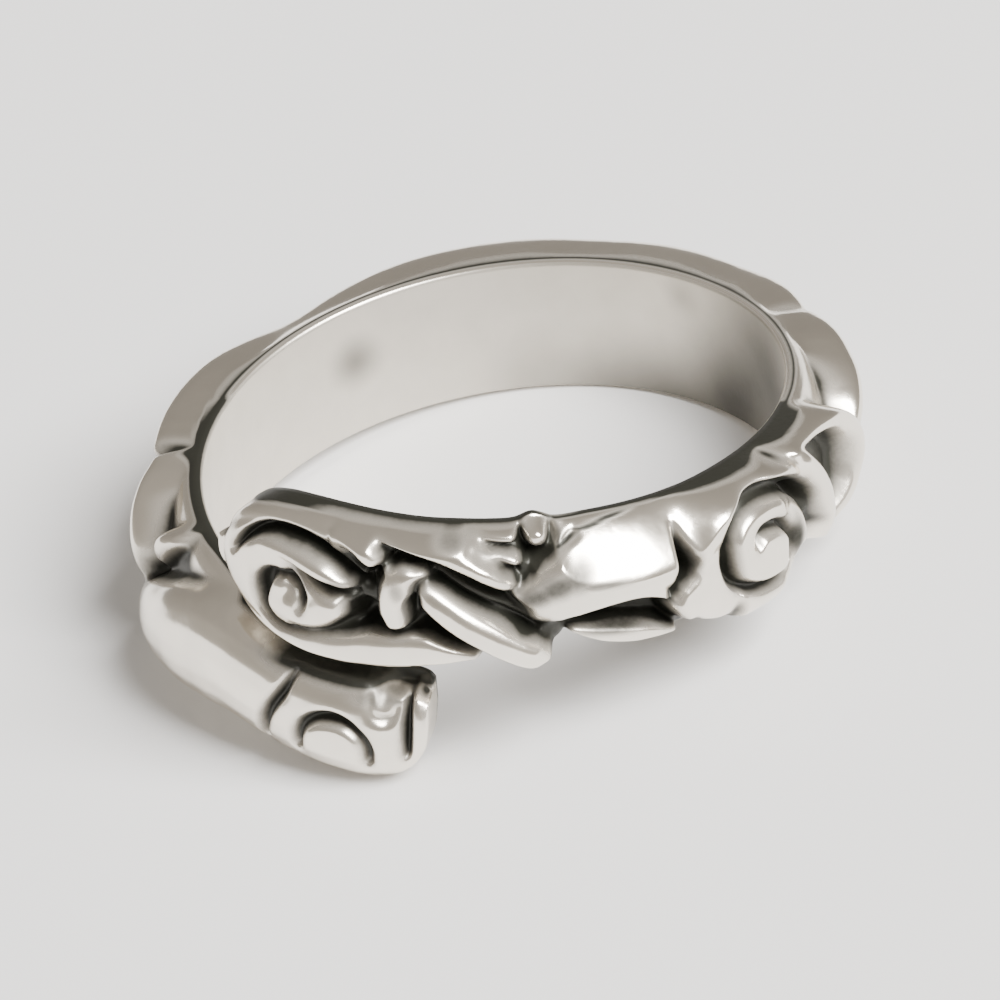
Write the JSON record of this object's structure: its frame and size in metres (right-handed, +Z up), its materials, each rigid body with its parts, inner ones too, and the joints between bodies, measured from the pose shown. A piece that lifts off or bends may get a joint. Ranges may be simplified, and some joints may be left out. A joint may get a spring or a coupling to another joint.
{
  "type": "adjustable bypass ring",
  "caption": "Open cast finger ring whose two worked ends pass each other, with raised scrolls, limbs and knot work on a wound strip.",
  "frame": {"origin": "middle of the underside of the ring's box, on the surface that the ring lies on", "axes": "+Z up from that surface, close to the axis of the finger hole; -Y is the side where the two ends pass each other, and the upper end's head points to -X there"},
  "size_m": [0.0218, 0.0208, 0.0086],
  "materials": {
    "silver": "polished cast silver with blackened recesses"
  },
  "bodies": {
    "root": {"cast_band": "silver"}
  },
  "joints": []
}
